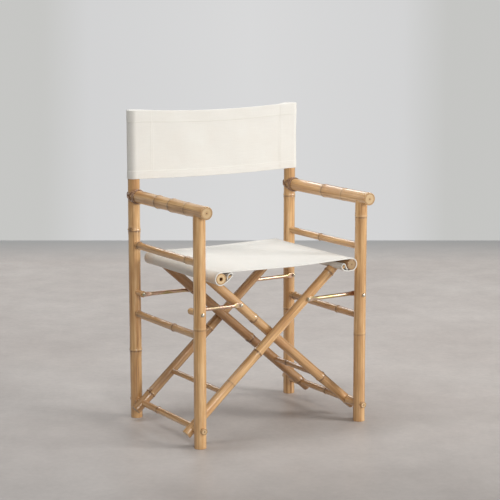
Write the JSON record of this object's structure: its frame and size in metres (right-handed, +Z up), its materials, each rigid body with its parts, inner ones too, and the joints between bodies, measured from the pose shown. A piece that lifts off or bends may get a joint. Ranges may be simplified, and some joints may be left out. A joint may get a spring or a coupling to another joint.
{
  "type": "folding chair",
  "caption": "Director's style folding chair: two bamboo side frames with armrests, crossed bamboo legs, metal links and a slung canvas seat and back.",
  "frame": {"origin": "middle of the footprint on the floor, under the middle of the overall box", "axes": "+Z up, the sitter faces -Y, +X is the sitter's left hand side, which is the right-hand side seen from the front"},
  "size_m": [0.5822, 0.4298, 0.88],
  "materials": {
    "bamboo": "satin varnish over honey-coloured bamboo",
    "turned_wood": "varnished",
    "split_cane": "glossy split cane",
    "canvas": "plain-woven cotton canvas, unbleached",
    "zinc_plate": "yellow zinc plate over steel",
    "bolt_steel": "zinc plated"
  },
  "bodies": {
    "left_frame": {"left_front_post": "bamboo", "left_rear_post": "bamboo", "left_armrest": "bamboo", "left_armrest_dowels": "turned_wood", "left_upper_side_rail": "bamboo", "left_lower_side_rail": "bamboo", "left_armrest_lashing": "split_cane", "left_axle_collars": "turned_wood", "left_link_spacers": "turned_wood", "left_link_bolts": "bolt_steel", "left_link_nuts": "bolt_steel", "left_back_sleeve": "canvas", "back_panel": "canvas"},
    "right_frame": {"right_front_post": "bamboo", "right_rear_post": "bamboo", "right_armrest": "bamboo", "right_armrest_dowels": "turned_wood", "right_upper_side_rail": "bamboo", "right_lower_side_rail": "bamboo", "right_armrest_lashing": "split_cane", "right_axle_collars": "turned_wood", "right_link_washers": "bolt_steel", "right_link_bolts": "bolt_steel", "right_link_nuts": "bolt_steel", "right_back_sleeve": "canvas"},
    "outer_legs": {"outer_leg_front": "bamboo", "outer_leg_rear": "bamboo", "outer_lower_rung": "bamboo", "outer_upper_rung": "bamboo", "outer_link_inserts": "bolt_steel", "right_seat_rail": "bamboo", "right_seat_loop": "canvas", "right_hem_sticks": "turned_wood", "right_rail_dowels": "turned_wood", "seat_panel": "canvas"},
    "inner_legs": {"inner_leg_front": "bamboo", "inner_leg_rear": "bamboo", "inner_lower_rung": "bamboo", "inner_upper_rung": "bamboo", "inner_link_inserts": "bolt_steel", "left_seat_rail": "bamboo", "left_seat_loop": "canvas", "left_hem_sticks": "turned_wood", "left_rail_dowels": "turned_wood", "cross_pins": "turned_wood"},
    "left_front_link": {"left_front_link": "zinc_plate", "left_front_link_leg_bolt": "bolt_steel"},
    "left_rear_link": {"left_rear_link": "zinc_plate", "left_rear_link_leg_bolt": "bolt_steel"},
    "right_front_link": {"right_front_link": "zinc_plate", "right_front_link_leg_bolt": "bolt_steel"},
    "right_rear_link": {"right_rear_link": "zinc_plate", "right_rear_link_leg_bolt": "bolt_steel"}
  },
  "joints": [
    {"name": "fold", "type": "hinge", "parent": "left_frame", "child": "outer_legs", "pos_m": [-0.26, 0, 0.05], "axis": [0, -1, 0], "range_deg": [0, 27.81], "deforming": ["seat_panel", "back_panel"]},
    {"name": "cross_pivot", "type": "hinge", "parent": "outer_legs", "child": "inner_legs", "pos_m": [0, 0, 0.27653], "axis": [0, -1, 0], "range_deg": [-60.1, 0]},
    {"name": "right_lower_pivot", "type": "hinge", "parent": "inner_legs", "child": "right_frame", "pos_m": [0.26, 0, 0.05], "axis": [0, -1, 0], "range_deg": [0, 27.91]},
    {"name": "left_front_link_pivot", "type": "hinge", "parent": "left_frame", "child": "left_front_link", "pos_m": [-0.26, 0, 0.366], "axis": [0, -1, 0], "range_deg": [0, 58.02]},
    {"name": "left_rear_link_pivot", "type": "hinge", "parent": "left_frame", "child": "left_rear_link", "pos_m": [-0.26, 0, 0.366], "axis": [0, -1, 0], "range_deg": [0, 58.02]},
    {"name": "right_front_link_pivot", "type": "hinge", "parent": "right_frame", "child": "right_front_link", "pos_m": [0.26, 0, 0.366], "axis": [0, -1, 0], "range_deg": [-58.02, 0]},
    {"name": "right_rear_link_pivot", "type": "hinge", "parent": "right_frame", "child": "right_rear_link", "pos_m": [0.26, 0, 0.366], "axis": [0, -1, 0], "range_deg": [-58.02, 0]}
  ],
  "couplings": [
    {"joint": "cross_pivot", "follows": "fold", "ratio": -2.1574},
    {"joint": "right_lower_pivot", "follows": "fold", "ratio": 1},
    {"joint": "left_front_link_pivot", "follows": "fold", "ratio": 2.0828},
    {"joint": "left_rear_link_pivot", "follows": "fold", "ratio": 2.0828},
    {"joint": "right_front_link_pivot", "follows": "fold", "ratio": -2.0828},
    {"joint": "right_rear_link_pivot", "follows": "fold", "ratio": -2.0828}
  ]
}
